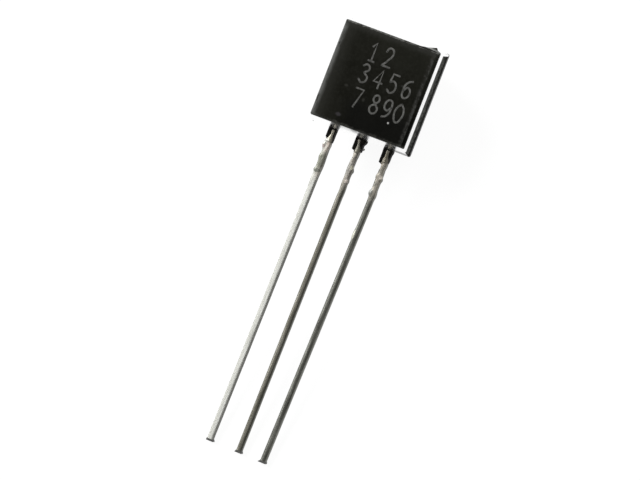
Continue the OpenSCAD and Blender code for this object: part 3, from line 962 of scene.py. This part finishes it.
# %% Writing with a round pen
def write_number(digit, x, y):
    """Splines of one number, centred on a point of the face, and the ends of its strokes."""
    ends = []
    for handle, points in STROKES[digit]:
        spline = pen.splines.new("BEZIER")
        spline.bezier_points.add(len(points) - 1)
        spline.resolution_u = 8
        for knot, (across, up) in zip(spline.bezier_points, points):
            knot.co = (x + (across - 0.5) * MARK_W, y + (up - 0.5) * MARK_H, 0)
            knot.handle_left_type = handle
            knot.handle_right_type = handle
        ends += [spline.bezier_points[0].co.copy(), spline.bezier_points[-1].co.copy()]
    return ends


pen = bpy.data.curves.new("pen", "CURVE")
pen.dimensions = "3D"
pen.bevel_depth = PEN_R
pen.bevel_resolution = 2
pen.use_fill_caps = True
stroke_ends = []
for line_y, numbers in MARK_LINES:
    for number_x, digit in numbers:
        stroke_ends += write_number(digit, number_x, line_y)
written = bpy.data.objects.new("pen", pen)
ink_mesh = bpy.data.meshes.new_from_object(written)
marks = bmesh.new()
marks.from_mesh(ink_mesh)
for end in stroke_ends:
    bmesh.ops.create_uvsphere(marks, u_segments=12, v_segments=6, radius=PEN_R,
                              matrix=Matrix.Translation(end))
for vert in marks.verts:
    vert.co.z = FRONT_DEPTH + max(-MARK_DEEP, min(MARK_HIGH, vert.co.z))
bpy.data.objects.remove(written)
bpy.data.curves.remove(pen)
bpy.data.meshes.remove(ink_mesh)
print("marking:", len(marks.verts), "vertices")


# %% Marking finish
def marking_finish():
    material, tree = new_finish("laser_marking")
    place = package_place(tree)
    mottle = grain(place, 9, 3, 0.6)
    fine = grain(place, 30, 2, 0.6)
    tone = mix(mottle.step(0.3, 0.7), (0.060, 0.060, 0.055), (0.130, 0.130, 0.122))
    surface = node(tree, "ShaderNodeBsdfPrincipled", {}, {
        "Base Color": tone,
        "Roughness": 0.6 + fine * 0.2,
        "Specular IOR Level": 0.2,
        "Normal": bump(fine, 0.004, 0.4),
    })
    node(tree, "ShaderNodeOutputMaterial", {}, {"Surface": surface})
    return material


marking = finish_piece("laser_marking", marks, marking_finish())

# %% [markdown]
# ## Inside the moulding
# The chip, its gold bond layer and the two bond wires stay as the solid model made them. They
# can't be seen while the moulding is whole, but they carry their own finishes, so that a
# cut-away view of the part is ready to render.

# %% Finishes of the hidden pieces
def inner_finish(name, dark, light, metal, rough, scale):
    """A metallic finish with fine grain that varies its colour, gloss and relief."""
    material, tree = new_finish(name)
    place = package_place(tree)
    fine = grain(place, scale, 3, 0.6)
    broad = grain(place, scale / 6, 2, 0.5)
    surface = node(tree, "ShaderNodeBsdfPrincipled", {}, {
        "Base Color": mix(broad.step(0.3, 0.7), dark, light),
        "Metallic": metal,
        "Roughness": rough + fine * 0.12,
        "Normal": bump(fine, 0.001, 0.3),
    })
    node(tree, "ShaderNodeOutputMaterial", {}, {"Surface": surface})
    return material


INNER = {
    "transistor_die": inner_finish("silicon", (0.22, 0.23, 0.30), (0.34, 0.35, 0.41), 0.9, 0.08, 60),
    "die_attach": inner_finish("die_bond", (0.62, 0.48, 0.24), (0.82, 0.68, 0.38), 1.0, 0.30, 40),
    "emitter_wire": inner_finish("emitter_bond", (0.78, 0.58, 0.20), (0.92, 0.72, 0.30), 1.0, 0.16, 90),
    "base_wire": inner_finish("base_bond", (0.78, 0.58, 0.20), (0.92, 0.72, 0.30), 1.0, 0.16, 90),
}
for node_name, finish in INNER.items():
    shown = frame["nodes"][node_name]
    shown.data.materials.clear()
    shown.data.materials.append(finish)
print("finished inside:", ", ".join(INNER))

# %% [markdown]
# ## Camera
# A camera placed in the package's own directions keeps the part where it lies and frames it as
# a catalogue does: nearly square to the flat face, a little from the right, and turned on its
# side. A long lens from eleven centimetres keeps the leads nearly parallel.

# %% Camera
camera_data = bpy.data.cameras.new("camera")
camera = bpy.data.objects.new("camera", camera_data)
bpy.context.scene.collection.objects.link(camera)
bpy.context.scene.camera = camera
IMAGE_W = 640
IMAGE_H = 480
CAMERA_YAW = math.radians(12.57)
CAMERA_PITCH = math.radians(-0.37)
CAMERA_ROLL = math.radians(21.24)
CAMERA_DISTANCE = 0.115
PIXELS_PER_MM = 23.51
ORIGIN_PIXEL = (380.68, 87.37)
camera_data.sensor_width = 36
camera_data.lens = camera_data.sensor_width * CAMERA_DISTANCE / (IMAGE_W / PIXELS_PER_MM * MM)
camera_data.clip_start = 0.01
camera_data.clip_end = 10
look = (package_turn @ Matrix.Rotation(CAMERA_YAW, 3, "Y") @ Matrix.Rotation(CAMERA_PITCH, 3, "X")
        @ Matrix.Rotation(CAMERA_ROLL, 3, "Z"))
pixel = MM / PIXELS_PER_MM
offset = Vector(((IMAGE_W / 2 - ORIGIN_PIXEL[0]) * pixel, (ORIGIN_PIXEL[1] - IMAGE_H / 2) * pixel, 0))
target = package_origin + look @ offset
camera.matrix_world = Matrix.Translation(target + look @ Vector((0, 0, CAMERA_DISTANCE))) @ look.to_4x4()
print("lens", round(camera_data.lens, 1))

# %% [markdown]
# ## Floor
# Small parts are shown on a sheet of white card that burns out to white and still keeps a soft
# contact shadow. A thin diffuse share takes the shadow, and a glow that only straight and
# mirrored rays can see brings the card up to white without lighting the part.

# %% Floor
def white_for_views(tree):
    """1 for rays that show the backdrop: straight, mirrored or let through."""
    path = node(tree, "ShaderNodeLightPath", {}, {})
    seen = path["Is Camera Ray"].at_least(path["Is Glossy Ray"])
    return seen.at_least(path["Is Transmission Ray"])


def floor_finish():
    material, tree = new_finish("floor")
    table = node(tree, "ShaderNodeBsdfDiffuse", {}, {"Color": (0.13, 0.13, 0.13, 1)})
    glow = node(tree, "ShaderNodeEmission", {}, {"Color": (1, 1, 1, 1), "Strength": 0.93})
    lit = node(tree, "ShaderNodeAddShader", {}, {0: table, 1: glow})
    plain = node(tree, "ShaderNodeBsdfDiffuse", {}, {"Color": (0.8, 0.8, 0.8, 1)})
    both = node(tree, "ShaderNodeMixShader", {}, {0: white_for_views(tree), 1: plain, 2: lit})
    node(tree, "ShaderNodeOutputMaterial", {}, {"Surface": both})
    return material


floor_mesh = bmesh.new()
bmesh.ops.create_grid(floor_mesh, x_segments=1, y_segments=1, size=1.0)
mesh = bpy.data.meshes.new("floor")
floor_mesh.to_mesh(mesh)
floor_mesh.free()
mesh.materials.append(floor_finish())
floor = bpy.data.objects.new("floor", mesh)
bpy.context.scene.collection.objects.link(floor)
print("floor of", len(floor.data.polygons), "face,", floor.dimensions.x, "m wide")

# %% [markdown]
# ## World and lamps
# A window on the left and a weaker fill light on the right draw the edges of the leads. The
# world is brighter near the horizon, which is what the drafted walls mirror.

# %% World and lamps
bpy.context.scene.view_settings.view_transform = "Standard"
world = bpy.data.worlds.new("studio")
bpy.context.scene.world = world
world.use_nodes = True
world.node_tree.nodes.clear()
tree = world.node_tree
direction = node(tree, "ShaderNodeTexCoord", {}, {})["Generated"]
up = node(tree, "ShaderNodeSeparateXYZ", {}, {"Vector": direction})["Z"]
path = node(tree, "ShaderNodeLightPath", {}, {})
level = 0.15 + up.step(0.30, 0.05) * 0.6
strength = level.at_least(path["Is Camera Ray"])
background = node(tree, "ShaderNodeBackground", {}, {"Color": (1, 1, 1, 1), "Strength": strength})
node(tree, "ShaderNodeOutputWorld", {}, {"Surface": background})


def add_lamp(name, away, size, energy):
    """A square lamp that faces the part from a point away from it."""
    data = bpy.data.lights.new(name, "AREA")
    data.energy = energy
    data.size = size
    lamp = bpy.data.objects.new(name, data)
    facing = Vector(away).to_track_quat("Z", "Y").to_matrix().to_4x4()
    lamp.matrix_world = Matrix.Translation(away) @ facing
    lamp.visible_camera = False
    bpy.context.scene.collection.objects.link(lamp)
    return lamp


window = add_lamp("window", (-0.50, 0.20, 0.42), 0.45, 5.0)
fill = add_lamp("fill", (0.30, 0.45, 0.55), 0.5, 2.0)
print("lamps of", window.data.energy, "and", fill.data.energy, "watts")
